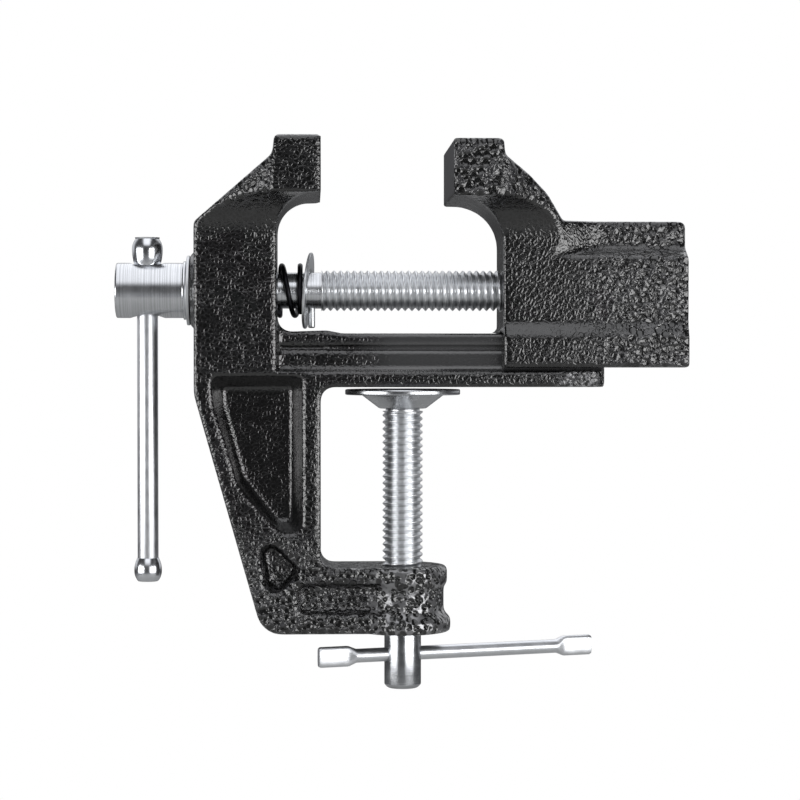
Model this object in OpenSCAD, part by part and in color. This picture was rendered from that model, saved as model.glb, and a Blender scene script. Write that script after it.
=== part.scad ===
// Small clamp-on bench vise: a fixed jaw cast in one piece with its slide rail and clamp frame,
// a moving jaw drawn along the rail by a lead screw, and a second screw that grips the bench.
// The lead screw runs along X, the clamp screw along Z. The origin is where the clamp screw's
// axis meets the rail's underside, the face that sits on the bench.

/* [Jaws] */
// Width of both jaws
jaw_w = 40; // [32:1:60]
// Height of a jaw's gripping face
jaw_face_h = 13; // [10:0.5:16]
// Height of the fixed jaw's top over the lead screw's axis
jaw_rise = 34.6; // [32:0.2:44]
// How much lower the moving jaw's top stands
jaw_step = 0.7; // [0:0.1:1.5]
// Thickness of the fixed jaw's block
fixed_block_t = 10.5; // [8:0.5:14]
// Thickness of the moving jaw's block
moving_block_t = 11.2; // [8:0.2:14]
// Gap between the jaws as drawn
opening = 30; // [6:1:40]
// Reach of the fixed jaw over its throat
fixed_throat = 10.1; // [9:0.1:14]
// Radius of the fixed jaw's throat
fixed_throat_r = 8.2; // [4:0.2:9]
// Reach of the moving jaw over its throat
moving_throat = 12; // [11.4:0.1:15]
// Radius of the moving jaw's throat
moving_throat_r = 10.8; // [5:0.2:11]
// Rounding of the jaws' outer edges
jaw_edge_r = 0.9; // [0.4:0.1:1.5]

/* [Fixed casting] */
// Width of the upright, the clamp frame and the moving jaw's neck
neck_w = 20; // [16:1:26]
// Thickness of the upright along the lead screw
upright_t = 19; // [14:0.5:26]
// Height on the upright where the fixed jaw's rear slope starts, over the lead screw's axis
slope_rise = 15.5; // [12:0.5:20]
// Drop from the fixed jaw's top to the head of its rear slope
slope_drop = 4.3; // [2:0.1:8]
// Distance from the clamp screw back to the opening's rear wall
clamp_reach = 19.2; // [16:0.2:30]
// Clear height of the clamp opening
clamp_gap = 41.7; // [34:0.1:60]
// Depth of the lower arm
arm_h = 15.2; // [13:0.2:22]
// Rim between the clamp opening and the big side pocket
rim_t = 4; // [3:0.5:6]
// Rim between the sloping back and the big side pocket
back_rim_t = 3.7; // [3:0.1:6]
// How far below the bench seat the back starts to slope
back_break = 1.6; // [0:0.2:6]
// How far the sloping back comes forward at its foot
back_run = 15.7; // [10:0.1:18]
// Depth of the side pockets
pocket_depth = 6; // [3:0.5:7]
// Draft of the pocket walls, from floor to rim
pocket_draft = 2.5; // [0.5:0.1:3]
// Radius inside the clamp opening's corners
opening_r = 3; // [1:0.5:5]
// Radius of the heel under the sloping back
heel_r = 6; // [2:0.5:9]
// Depth of the recesses in the lower arm
arm_recess = 2.6; // [1:0.1:4]
// Thickness of the lower arm's top and bottom flanges
arm_flange_t = 3.5; // [2.5:0.1:5]
// Radius of the clamp boss at its top flange
boss_r = 10.4; // [8:0.1:12]
// How much the boss's waist is cut in
boss_waist = 0.8; // [0:0.1:1.5]
// How much further the boss's bottom flange stands out
boss_foot = 0.8; // [0:0.1:1.5]

/* [Slide rail] */
// Length of the rail from the clamp screw to its free end
rail_reach = 46.5; // [38:0.5:60]
// Height of the rail
rail_h = 12.4; // [11:0.1:16]
// Thickness of the wide flange at the rail's foot
flange_t = 3.7; // [2.5:0.1:5]
// Width of the rail above its flange
rail_w = 15; // [12:0.5:18]
// Height of the guide groove in each side
groove_h = 1.2; // [0.8:0.1:2]
// Depth of the guide groove
groove_depth = 1.1; // [0.6:0.1:2]
// Height of the rail's head over the groove
rail_head_h = 2.8; // [2:0.1:4]
// How far the rough land beside the upright stands over the rail
land_h = 0.7; // [0.2:0.1:1]
// How far the rough land runs out from the upright
land_run = 17; // [12:0.5:18]
// Sliding clearance between the rail and the moving jaw
slide_c = 0.2; // [0.1:0.05:0.25]

/* [Moving jaw] */
// Length of the moving jaw's body behind its throat
tail_len = 42.9; // [36:0.1:60]
// Height of the body's top over the lead screw's axis
tail_rise = 16; // [14:0.5:20]
// Width of the body's narrow top
tail_top_w = 11.6; // [9:0.2:14]
// Height of the narrow top
tail_top_h = 6.2; // [4:0.2:8]
// Width over the two skirts beside the rail
skirt_w = 23; // [21:0.5:28]
// Height of the skirts
skirt_h = 7.2; // [5:0.2:8]
// Gap between the skirts and the rail's flange
skirt_gap = 0.8; // [0.4:0.1:1.5]
// Length of the tapped wall behind the throat
tapped_len = 13.2; // [9:0.2:18]
// Width of the hollow behind the tapped wall
hollow_w = 13.4; // [11:0.2:14]
// How far the rear slope comes back from the jaw's block
brace_run = 14.5; // [12:0.5:18]

/* [Lead screw] */
// Outer diameter of both screw threads
thread_d = 9.4; // [8:0.1:10]
// Advance of a thread in one turn
thread_pitch = 1.5875; // [1:0.0125:2]
// Diameter of the blank that the threads are rolled on
blank_d = 8.4; // [7:0.1:8.6]
// Height of the lead screw's axis over the rail
screw_rise = 10; // [9.6:0.1:14]
// Length of the plain head
head_len = 15.6; // [12:0.2:20]
// Diameter of the plain head
head_d = 12.8; // [11:0.1:15]
// Diameter of the collar at the head's root
collar_d = 13.6; // [13:0.1:16]
// Thickness of the collar
collar_t = 0.8; // [0.5:0.1:2]
// Thread beyond the moving jaw's front wall, as drawn
thread_ahead = 21.2; // [20:0.2:30]
// Gap between the upright and the thread's first turn
thread_start = 10.3; // [9.5:0.1:14]
// Running clearance of screws and pins, on the radius
run_c = 0.05; // [0.02:0.01:0.1]
// Diameter of the thrust washer
thrust_d = 16.2; // [15:0.1:19]
// Thickness of the thrust washer
thrust_t = 0.8; // [0.5:0.1:1.5]
// Height of the cast boss under the thrust washer
back_boss_h = 1.1; // [0.5:0.1:3]

/* [Take-up spring] */
// Outer diameter of the spring
spring_d = 12.8; // [12:0.1:14]
// Diameter of the spring's wire
spring_wire = 1.2; // [0.8:0.1:1.3]
// Distance from the upright to the spring washer's middle
spring_space = 7.2; // [7.1:0.05:8]
// Turns of the spring
spring_turns = 2; // [1.8:0.05:2]
// Diameter of the spring washer
washer_d = 17.8; // [15:0.1:19]
// Thickness of the spring washer
washer_t = 0.6; // [0.4:0.05:1]
// Diameter of the spring washer's hole
washer_bore = 10.4; // [9.8:0.1:11]
// Lean of the spring washer, top outwards
washer_lean = 5; // [0:0.5:5]
// Turn of the spring washer towards its near side
washer_yaw = 6; // [0:0.5:6]
// Diameter of the retaining pin
pin_d = 1.6; // [1:0.1:2]
// Reach of the retaining pin below the screw's axis
pin_reach = 8.7; // [7:0.1:9.2]

/* [Lead screw handle] */
// Diameter of the handle bar
handle_d = 4.85; // [4:0.05:6]
// Length of the handle bar between its knobs
handle_len = 67.6; // [50:0.2:110]
// Diameter of the upper knob
upper_knob_d = 7.1; // [6.2:0.1:9]
// Height of the upper knob
upper_knob_h = 7; // [5:0.1:9]
// Diameter of the lower knob
lower_knob_d = 6.4; // [6:0.1:9]
// Height of the lower knob
lower_knob_h = 5.4; // [4:0.1:8]
// Diameter of the spigots that the knobs are pressed on
spigot_d = 3; // [2.4:0.1:3.6]

/* [Bench clamp] */
// Diameter of the clamp pad
pad_d = 26.9; // [22:0.1:30]
// Thickness of the pad's rim
pad_t = 1.3; // [1:0.1:2]
// Depth of the pad's cone below its rim
pad_cone_h = 3.2; // [2.4:0.1:5]
// Diameter of the cone under the rim
pad_cone_d = 18.8; // [16:0.1:20]
// Diameter of the cone at its end
pad_nose_d = 10.9; // [10:0.1:13]
// Gap between the pad and the bench seat, as drawn
pad_gap = 0.6; // [0.3:0.1:20]
// Diameter of the rivet end that holds the pad
rivet_d = 6; // [4:0.1:6.6]
// Length of the clamp screw below the boss
clamp_head_len = 13.6; // [11:0.2:20]
// Diameter of the plain end below the boss
clamp_head_d = 8.6; // [8:0.1:9]
// Diameter of the clamp bar
bar_d = 3.25; // [2.6:0.05:4]
// Length of the clamp bar
bar_len = 69; // [50:1:90]
// Reach of the bar's short end
bar_short = 20.7; // [18:0.1:30]
// Length of the flattened ends
flat_len = 9.6; // [6:0.2:12]
// Width of the flattened ends
flat_w = 4.8; // [4.4:0.1:6]
// Thickness of the flattened ends
flat_t = 1.8; // [1.2:0.1:2.4]
// Turn of the clamp bar about the screw, as drawn
bar_turn = 17.6; // [-30:0.1:30]

/* [Hidden] */
$fn = 48;
arc_steps = 12;      // straight steps in a rounded corner of an outline
past = 1;            // how far a cut runs past the face it opens
chamfer = 0.5;       // bevel on the ends of turned pieces
fine_r = 0.3;        // rounding of the machined edges

// heights, measured from the bench seat
screw_z = rail_h + screw_rise;
top_z = screw_z + jaw_rise;
roof_z = top_z - jaw_face_h;
groove_top = rail_h - rail_head_h;
groove_low = groove_top - groove_h;
arm_top = -clamp_gap;
arm_low = arm_top - arm_h;
scoop_r = (jaw_w - neck_w) / 2;
head_low = screw_z + 10;
skirt_low = flange_t + skirt_gap;
tail_top = screw_z + tail_rise;

// stations along the lead screw
face_x = -clamp_reach;
inner_x = face_x - fixed_throat;
outer_x = inner_x - upright_t;
boss_x = outer_x - back_boss_h;
collar_x = boss_x - thrust_t;
head_x = collar_x - collar_t - head_len;
foot_x = outer_x + back_run;
moving_x = face_x + opening;
wall_x = moving_x + moving_throat;
tail_end = wall_x + tail_len;
screw_end = wall_x + thread_ahead;
washer_x = inner_x + spring_space;
handle_x = head_x + head_len * 0.46;

// A corner of an outline: the arc of radius r that touches both sides at b
function unit(v) = v / norm(v);
function arc_corner(a, b, c, r) =
    let (u = unit(a - b), v = unit(c - b), half = acos(u * v) / 2, mid = unit(u + v),
         centre = b + mid * r / sin(half), side = cross(u, v) > 0 ? 1 : -1,
         from = atan2(-mid[1], -mid[0]) + side * (90 - half), sweep = -side * (180 - 2 * half))
    [for (i = [0 : arc_steps]) let (t = from + sweep * i / arc_steps) centre + r * [cos(t), sin(t)]];

// An outline of points [x, y, corner radius]
function rounded(p) = [for (i = [0 : len(p) - 1])
    let (n = len(p), a = p[(i + n - 1) % n], b = p[i], c = p[(i + 1) % n], r = b[2])
    each r > 0 ? arc_corner([a[0], a[1]], [b[0], b[1]], [c[0], c[1]], r) : [[b[0], b[1]]]];

// A side view of the vise, given thickness w across it
module across(w) {
    rotate([90, 0, 0]) linear_extrude(w, center = true) children();
}

// A section across the lead screw, run from x0 to x1
module along(x0, x1) {
    translate([x0, 0, 0]) rotate([90, 0, 90]) linear_extrude(x1 - x0) children();
}

// A round bar along the lead screw's axis
module on_screw(d, x0, x1, d2 = 0) {
    translate([x0, 0, screw_z]) rotate([0, 90, 0]) cylinder(h = x1 - x0, d1 = d, d2 = d2 > 0 ? d2 : d);
}

module both_sides() {
    children();
    mirror([0, 1, 0]) children();
}

// The upper part of a jaw: its side view, cut to its plan and to its front view, where
// the block stands out over the neck on a hollow curve at each side
module jaw_head(side, plan, top, roof) {
    half = jaw_w / 2;
    neck = neck_w / 2;
    curve = scoop_r - fine_r;
    intersection() {
        across(jaw_w) polygon(rounded(side));
        translate([0, 0, head_low - past]) linear_extrude(top - head_low + 2 * past) polygon(rounded(plan));
        along(outer_x - past, tail_end)
            polygon(rounded([[-neck, head_low - past, 0], [-neck, roof, curve], [-half, roof, fine_r / 2],
                             [-half, top, jaw_edge_r], [half, top, jaw_edge_r], [half, roof, fine_r / 2],
                             [neck, roof, curve], [neck, head_low - past, 0]]));
    }
}

module fixed_head() {
    back = face_x - fixed_block_t;
    half = jaw_w / 2;
    neck = neck_w / 2;
    side = [[outer_x, head_low, 0], [outer_x, screw_z + slope_rise, 1.5],
            [back - 0.4, top_z - slope_drop, 2], [back, top_z, jaw_edge_r], [face_x, top_z, fine_r],
            [face_x, roof_z, fine_r], [inner_x, roof_z, fixed_throat_r], [inner_x, head_low, 0]];
    plan = [[outer_x, -neck, 0], [back, -half, jaw_edge_r], [face_x, -half, fine_r],
            [face_x, half, fine_r], [back, half, jaw_edge_r], [outer_x, neck, 0]];
    jaw_head(side, plan, top_z, roof_z);
}

module moving_head() {
    back = moving_x + moving_block_t;
    top = top_z - jaw_step;
    roof = roof_z - jaw_step;
    half = jaw_w / 2;
    neck = neck_w / 2;
    foot = back + brace_run;
    fall = top - slope_drop + 0.6 - tail_top;
    side = [[wall_x, head_low, 0], [wall_x, roof, moving_throat_r], [moving_x, roof, fine_r],
            [moving_x, top, fine_r], [back, top, jaw_edge_r], [back + 0.4, tail_top + fall, 1],
            [back + brace_run * 0.41, tail_top + fall * 0.72, 8],
            [back + brace_run * 0.73, tail_top + fall * 0.42, 8], [foot, tail_top, 0], [foot, head_low, 0]];
    plan = [[moving_x, -half, fine_r], [back, -half, jaw_edge_r], [foot, -neck, 0],
            [foot, neck, 0], [back, half, jaw_edge_r], [moving_x, half, fine_r]];
    jaw_head(side, plan, top, roof);
}

// The upright and the clamp frame, seen from the side
module frame_outline() {
    polygon(rounded([[outer_x, head_low, 0], [outer_x, -back_break, 12], [foot_x, arm_low, heel_r],
                     [0, arm_low, 0], [0, arm_top, 0], [face_x, arm_top, opening_r], [face_x, 0, opening_r],
                     [0, 0, 0], [0, flange_t, 0], [inner_x, flange_t, 0], [inner_x, head_low, 0]]));
}

// A pocket with drafted walls, cut into both sides of the frame. edge is its rim
module side_pocket(edge, depth, draft) {
    low_x = min([for (p = edge) p[0]]);
    low_z = min([for (p = edge) p[1]]);
    size_x = max([for (p = edge) p[0]]) - low_x;
    size_z = max([for (p = edge) p[1]]) - low_z;
    mid = [low_x + size_x / 2, low_z + size_z / 2];
    grow = [size_x / (size_x - 2 * draft), size_z / (size_z - 2 * draft)];
    rise = depth + past;
    // the walls keep their draft where they run past the face
    both_sides() rotate([90, 0, 0]) translate([mid[0], mid[1], neck_w / 2 - depth])
        linear_extrude(rise, scale = [for (g = grow) 1 + (g - 1) * rise / depth], slices = 1)
            polygon([for (p = rounded(edge)) [(p[0] - mid[0]) / grow[0], (p[1] - mid[1]) / grow[1]]]);
}

module big_pocket() {
    lean = back_run / (-arm_low - back_break);
    right = face_x - rim_t;
    low = arm_top + 7.9;
    knee = low + 11.6;
    left_top = outer_x + back_rim_t;
    left_low = outer_x + back_rim_t + lean * (-knee - back_break) + 0.4;
    top = flange_t - 1;
    side_pocket([[left_top, top, 1.5], [left_top + 0.6, -4, 6], [left_low, knee, 5],
                 [right - 5, low, 2.6], [right, low, 2.4], [right, top, 1]],
                pocket_depth, pocket_draft);
}

module small_pocket() {
    right = face_x - rim_t - 0.1;
    side_pocket([[right - 11.3, arm_top + 10, 2.4], [right - 7.8, arm_low + 6.9, 2.6],
                 [right, arm_top - 0.6, 2]],
                pocket_depth - 1, pocket_draft / 2);
}

module arm_pocket() {
    left = face_x - 5.4;
    side_pocket([[left, arm_low + arm_flange_t + 1, 2], [1, arm_low + arm_flange_t + 1, 0],
                 [1, arm_top - arm_flange_t, 0], [left, arm_top - arm_flange_t, 2]],
                arm_recess, 0.7);
}

// The rail over its flange: a straight side, a guide groove and the head that the jaw slides on
module rail() {
    half = rail_w / 2;
    slot = half - groove_depth;
    along(inner_x - past, rail_reach)
        polygon([[-half, 0], [-half, groove_low], [-slot, groove_low], [-slot, groove_top],
                 [-half, groove_top], [-half, rail_h], [half, rail_h], [half, groove_top],
                 [slot, groove_top], [slot, groove_low], [half, groove_low], [half, 0]]);
    // rough land and fillet beside the upright, left as cast
    land = rail_h + land_h;
    across(rail_w)
        polygon(rounded([[inner_x - past, groove_top + past, 0], [inner_x - past, land + 4, 0],
                         [inner_x, land + 4, 0], [inner_x, land - 0.4, 3.4], [inner_x + land_run - 5.5, land, 4],
                         [inner_x + land_run - 2, rail_h, 3], [inner_x + land_run, rail_h - fine_r, 0],
                         [inner_x + land_run, groove_top + past, 0]]));
}

module rail_flange() {
    half = neck_w / 2;
    linear_extrude(flange_t)
        polygon(rounded([[face_x - past, -half, 0], [rail_reach, -half, 4], [rail_reach, half, 4],
                         [face_x - past, half, 0]]));
}

module clamp_boss() {
    waist = boss_r - boss_waist;
    foot = boss_r + boss_foot;
    low = arm_low - 0.3;
    rotate_extrude()
        polygon([[0, low], [foot - 0.4, low], [foot, low + 0.5], [foot, low + arm_flange_t - 0.4],
                 [waist, low + arm_flange_t + 1.4], [waist, arm_top - arm_flange_t - 1.6],
                 [boss_r, arm_top - arm_flange_t - 0.4], [boss_r, arm_top - 0.7], [boss_r - 0.6, arm_top],
                 [0, arm_top]]);
}

module fixed_frame() {
    color([0.10, 0.10, 0.11]) difference() {
        union() {
            difference() {
                union() {
                    across(neck_w) frame_outline();
                    fixed_head();
                    rail();
                    rail_flange();
                }
                big_pocket();
                small_pocket();
                arm_pocket();
            }
            clamp_boss();
            on_screw(thrust_d + 0.6, boss_x, outer_x + past);
        }
        on_screw(thread_d + 2 * run_c, boss_x - past, inner_x + past);
        translate([0, 0, arm_low - past]) cylinder(h = arm_h + 2 * past, d = thread_d + 2 * run_c);
    }
}

// Section of the moving jaw's body across the lead screw: skirts, flanks and narrow top
module tail_section() {
    skirt = skirt_w / 2;
    flank = neck_w / 2;
    shoulder = tail_top - tail_top_h;
    polygon([[-skirt, skirt_low], [-skirt, skirt_low + skirt_h], [-flank, skirt_low + skirt_h + 3.1],
             [-flank, shoulder - 2.2], [-tail_top_w / 2, shoulder], [tail_top_w / 2, shoulder],
             [flank, shoulder - 2.2], [flank, skirt_low + skirt_h + 3.1], [skirt, skirt_low + skirt_h],
             [skirt, skirt_low]]);
}

// The body's top: as wide as the neck at the front, drawn in behind it
module tail_crown() {
    flank = neck_w / 2;
    narrow = tail_top_w / 2;
    taper_from = moving_x + moving_block_t + brace_run;
    intersection() {
        translate([0, 0, screw_z])
            linear_extrude(tail_rise)
                polygon(rounded([[wall_x, -flank, 0], [taper_from, -flank, 9], [taper_from + 7.6, -narrow, 9],
                                 [tail_end, -narrow, 1.5], [tail_end, narrow, 1.5],
                                 [taper_from + 7.6, narrow, 9], [taper_from, flank, 9], [wall_x, flank, 0]]));
        along(wall_x, tail_end)
            polygon(rounded([[-flank, screw_z, 0], [-flank, tail_top, 1.6], [flank, tail_top, 1.6],
                             [flank, screw_z, 0]]));
        across(neck_w)
            polygon(rounded([[wall_x, screw_z, 0], [wall_x, tail_top, 0], [tail_end, tail_top, 1.5],
                             [tail_end, screw_z, 0]]));
    }
}

// The way for the rail, with a lip that runs in each of its grooves
module rail_way() {
    half = rail_w / 2 + slide_c;
    lip = half - groove_depth;
    polygon([[-half, skirt_low - past], [-half, groove_low + slide_c], [-lip, groove_low + slide_c],
             [-lip, groove_top - slide_c], [-half, groove_top - slide_c], [-half, rail_h + slide_c],
             [half, rail_h + slide_c], [half, groove_top - slide_c], [lip, groove_top - slide_c],
             [lip, groove_low + slide_c], [half, groove_low + slide_c], [half, skirt_low - past]]);
}

// The hollow behind the tapped wall, arched over the screw
module tail_hollow() {
    half = hollow_w / 2;
    low = rail_h + slide_c - past;
    polygon(rounded([[-half, low, 0], [-half, tail_top - 6.4, half - 0.5], [half, tail_top - 6.4, half - 0.5],
                     [half, low, 0]]));
}

module moving_jaw() {
    toe = 1.8;
    toe_z = rail_h + slide_c;
    color([0.13, 0.13, 0.14]) difference() {
        union() {
            moving_head();
            along(wall_x, tail_end) tail_section();
            tail_crown();
            // small fillet at the foot of the front wall, over the rail
            along(wall_x - toe, wall_x + past)
                translate([-rail_w / 2, toe_z]) square([rail_w, toe]);
        }
        translate([wall_x - toe, 0, toe_z + toe]) rotate([90, 0, 0])
            cylinder(h = rail_w + 2 * past, r = toe, center = true);
        along(wall_x - past, tail_end + past) rail_way();
        along(wall_x + tapped_len, tail_end + past) tail_hollow();
        on_screw(thread_d + 2 * run_c, wall_x - past, wall_x + tapped_len + past);
    }
}

module lead_screw() {
    hole = handle_d + 4 * run_c;
    color([0.82, 0.82, 0.84]) difference() {
        union() {
            on_screw(head_d - 2 * chamfer, head_x, head_x + chamfer, head_d);
            on_screw(head_d, head_x + chamfer, head_x + head_len);
            on_screw(collar_d, head_x + head_len, collar_x);
            on_screw(thread_d, collar_x, inner_x);
            on_screw(blank_d, inner_x, inner_x + thread_start);
            on_screw(thread_d, inner_x + thread_start, screw_end - 1);
            on_screw(thread_d, screw_end - 1, screw_end, thread_d - 2);
        }
        translate([handle_x, 0, screw_z]) {
            cylinder(h = head_d + 2 * past, d = hole, center = true);
            // the hole's mouths are countersunk
            for (side = [0, 180]) rotate([side, 0, 0])
                translate([0, 0, head_d / 2 - 1.4]) cylinder(h = 2, d1 = hole, d2 = hole + 4.4);
        }
        translate([pin_x, 0, screw_z]) cylinder(h = thread_d, d = pin_d + 2 * run_c, center = true);
    }
}

module thrust_washer() {
    color([0.78, 0.78, 0.80]) difference() {
        on_screw(thrust_d, collar_x, boss_x - run_c);
        on_screw(thread_d + 6 * run_c, collar_x - past, boss_x + past);
    }
}

// The spring washer hangs a little askew on the thinner shank, as the spring leaves it.
// This is the line square to its face, and how steeply the face leans from an upright one
washer_way = [cos(washer_lean) * cos(washer_yaw), -cos(washer_lean) * sin(washer_yaw), -sin(washer_lean)];
washer_tilt = acos(washer_way[0]);

// Take-up spring: one unbroken wire, flat against the upright, one steep turn, flat at the washer
rings_per_turn = 8;
wire_sides = 6;
spring_r = (spring_d - spring_wire) / 2;
spring_from = -0.58; // turns, counted from the top of the coil
spring_x0 = inner_x + spring_wire / 2 + run_c;
spring_x1 = washer_x - washer_t / 2 - spring_wire / 2 - spring_d / 2 * tan(washer_tilt) - run_c;
function ease(u) = let (c = max(0, min(1, u))) c * c * (3 - 2 * c);
function coil_point(t) = [spring_x0 + (spring_x1 - spring_x0) * ease((t + 0.2) / 1.05),
                          -spring_r * sin(360 * t), screw_z + spring_r * cos(360 * t)];
function coil_way(t) = unit(coil_point(t + 0.002) - coil_point(t - 0.002));
function flat_way(t) = [0, coil_way(t)[1], coil_way(t)[2]];
spring_steps = ceil(spring_turns * rings_per_turn);
spring_t = [for (i = [0 : spring_steps]) spring_from + spring_turns * i / spring_steps];
spring_to = spring_from + spring_turns;
// the wire's middle line runs on straight for one wire diameter at both ends
wire_line = concat([coil_point(spring_from) - spring_wire * flat_way(spring_from)],
                   [for (t = spring_t) coil_point(t)],
                   [coil_point(spring_to) + spring_wire * flat_way(spring_to)]);
wire_way = concat([coil_way(spring_from)], [for (t = spring_t) coil_way(t)], [coil_way(spring_to)]);
wire_rings = [for (i = [0 : len(wire_line) - 1])
    let (out = unit(cross(wire_way[i], [1, 0, 0])), up = cross(wire_way[i], out))
    [for (k = [0 : wire_sides - 1]) let (a = 360 * k / wire_sides + 30)
        wire_line[i] + spring_wire / 2 * (cos(a) * out + sin(a) * up)]];
// the least gap between the wire and itself, half a turn or more further on
far_apart = rings_per_turn / 2;
spring_gap = min([for (i = [0 : len(wire_line) - 1 - far_apart], j = [i + far_apart : len(wire_line) - 1])
    norm(wire_line[i] - wire_line[j])]) - spring_wire;
echo(spring_least_gap_mm = spring_gap);

module take_up_spring() {
    rings = len(wire_rings);
    last = (rings - 1) * wire_sides;
    next = function (k) (k + 1) % wire_sides;
    color([0.12, 0.12, 0.12]) polyhedron(
        points = [for (ring = wire_rings) each ring],
        faces = concat(
            [for (k = [1 : wire_sides - 2]) [0, k + 1, k]],
            [for (i = [0 : rings - 2], k = [0 : wire_sides - 1], half = [0, 1])
                let (a = i * wire_sides, b = a + wire_sides)
                half == 0 ? [a + k, a + next(k), b + next(k)] : [a + k, b + next(k), b + k]],
            [for (k = [1 : wire_sides - 2]) [last, last + k, last + k + 1]]));
}

module spring_washer() {
    color([0.75, 0.75, 0.77]) translate([washer_x, 0, screw_z])
        rotate([0, washer_lean, -washer_yaw]) rotate([0, 90, 0]) difference() {
            cylinder(h = washer_t, d = washer_d, center = true);
            cylinder(h = washer_t + past, d = washer_bore, center = true);
        }
}

// The pin stands against the lower half of the leaning washer. Its other end stays inside the washer's hole
pin_x = washer_x + pin_d / 2 + 2 * run_c
      + (washer_t / 2 + washer_way[2] * washer_bore / 2 - washer_way[1] * pin_d / 2) / washer_way[0];
module retaining_pin() {
    tip = pin_d / 2;
    color([0.72, 0.72, 0.74]) translate([pin_x, 0, screw_z]) rotate_extrude()
        polygon(rounded([[0, -pin_reach, 0], [tip, -pin_reach, tip * 0.6], [tip, blank_d / 2, 0.2],
                         [0, blank_d / 2, 0]]));
}

// A turned knob of diameter d and height h, standing on z = 0, bored for its spigot from below
module knob(d, h, end_d, bore_h) {
    belly = ((h / 2) * (h / 2) + (d - end_d) * (d - end_d) / 4) / (d - end_d);
    difference() {
        rotate_extrude() intersection() {
            translate([d / 2 - belly, h / 2]) circle(r = belly, $fn = 96);
            square([d, h]);
        }
        translate([0, 0, -past]) cylinder(h = bore_h + past, d = spigot_d + 2 * run_c);
    }
}

knob_seat = screw_z + head_d / 2 - 1.1;                 // where the upper knob rests in the head
spigot_h = 3;
module handle_bar() {
    color([0.82, 0.82, 0.84]) translate([handle_x, 0, knob_seat]) {
        translate([0, 0, -handle_len]) cylinder(h = handle_len, d = handle_d);
        cylinder(h = spigot_h, d = spigot_d);
        translate([0, 0, -handle_len - spigot_h]) cylinder(h = spigot_h, d = spigot_d);
    }
}

module upper_knob() {
    color([0.80, 0.80, 0.82]) translate([handle_x, 0, knob_seat])
        knob(upper_knob_d, upper_knob_h, upper_knob_d - 1.6, spigot_h + run_c);
}

module lower_knob() {
    color([0.80, 0.80, 0.82]) translate([handle_x, 0, knob_seat - handle_len]) mirror([0, 0, 1])
        knob(lower_knob_d, lower_knob_h, lower_knob_d - 1.4, spigot_h + run_c);
}

// Pressed pad: a flat rim, and a cone whose floor is riveted on the clamp screw's end
pad_top = -pad_gap;
pad_floor_t = 1.4;
pad_nose = pad_top - pad_t - pad_cone_h;
module clamp_pad() {
    rim = pad_d / 2;
    cone = pad_cone_d / 2;
    nose = pad_nose_d / 2;
    wall = 1.2;
    color([0.85, 0.85, 0.87]) rotate_extrude()
        polygon([[rivet_d / 2 + 2 * run_c, pad_nose], [nose, pad_nose], [cone, pad_top - pad_t - 0.2],
                 [cone, pad_top - pad_t], [rim - 0.3, pad_top - pad_t], [rim, pad_top - pad_t + 0.3],
                 [rim, pad_top - 0.3], [rim - 0.3, pad_top], [cone - wall, pad_top],
                 [nose - wall, pad_nose + pad_floor_t], [rivet_d / 2 + 2 * run_c, pad_nose + pad_floor_t]]);
}

clamp_low = arm_low - clamp_head_len;
bar_z = clamp_low + 7.9;
module clamp_screw() {
    thread_from = pad_nose - 1.5;
    rivet_seat = pad_nose + pad_floor_t + run_c;
    color([0.82, 0.82, 0.84]) difference() {
        union() {
            translate([0, 0, clamp_low]) cylinder(h = 0.8, d1 = clamp_head_d - 1.6, d2 = clamp_head_d);
            translate([0, 0, clamp_low + 0.8])
                cylinder(h = arm_low + 1.6 - clamp_low - 0.8, d = clamp_head_d);
            translate([0, 0, arm_low + 1.6]) cylinder(h = thread_from - arm_low - 1.6, d = thread_d);
            translate([0, 0, thread_from]) cylinder(h = pad_nose - run_c - thread_from, d = blank_d - 0.4);
            translate([0, 0, thread_from]) cylinder(h = rivet_seat - thread_from, d = rivet_d);
            // the end is hammered over inside the pad's dish
            translate([0, 0, rivet_seat]) cylinder(h = 1.2, d1 = rivet_d + 1.6, d2 = rivet_d);
        }
        translate([0, 0, bar_z]) rotate([0, 90, bar_turn])
            cylinder(h = thread_d + 2 * past, d = bar_d + 4 * run_c, center = true);
    }
}

// Round bar with both ends hammered flat, so that it can't leave its hole
module clamp_bar() {
    far = bar_len - bar_short;
    neck = flat_len * 0.28;
    sunk = bar_d * 0.36;
    color([0.70, 0.70, 0.76]) translate([0, 0, bar_z]) rotate([0, 0, bar_turn]) {
        // the round part, drawn down to the flats' thickness at both ends
        rotate([0, 90, 0]) rotate_extrude()
            polygon([[0, flat_len - neck - bar_short], [flat_t / 2, flat_len - neck - bar_short],
                     [bar_d / 2, flat_len - bar_short], [bar_d / 2, far - flat_len],
                     [flat_t / 2, far - flat_len + neck], [0, far - flat_len + neck]]);
        for (side = [0, 1]) translate([side == 0 ? -bar_short : far, 0, 0]) mirror([side, 0, 0])
            rotate([90, 0, 0]) linear_extrude(flat_t, center = true)
                polygon(rounded([[0, -flat_w / 2, 0.4], [flat_len - neck, -flat_w / 2 + 0.2, 2],
                                 [flat_len + neck / 4, -sunk, 0], [flat_len + neck / 4, sunk, 0],
                                 [flat_len - neck, flat_w / 2 - 0.2, 2], [0, flat_w / 2, 0.4]]));
    }
}

fixed_frame();
moving_jaw();
lead_screw();
thrust_washer();
take_up_spring();
spring_washer();
retaining_pin();
handle_bar();
upper_knob();
lower_knob();
clamp_pad();
clamp_screw();
clamp_bar();
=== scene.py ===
# %% [markdown]
# # A small clamp-on bench vise
# Two iron castings in black hammertone enamel, two bright screws with sliding bars, a spring, a few
# washers and a pressed clamp pad. The measured solids come in as a fixed frame, in metres. This lesson
# dresses them: it gives the castings their soft cast edges, rolls the threads, winds the spring and
# finishes every surface.

import math

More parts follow.
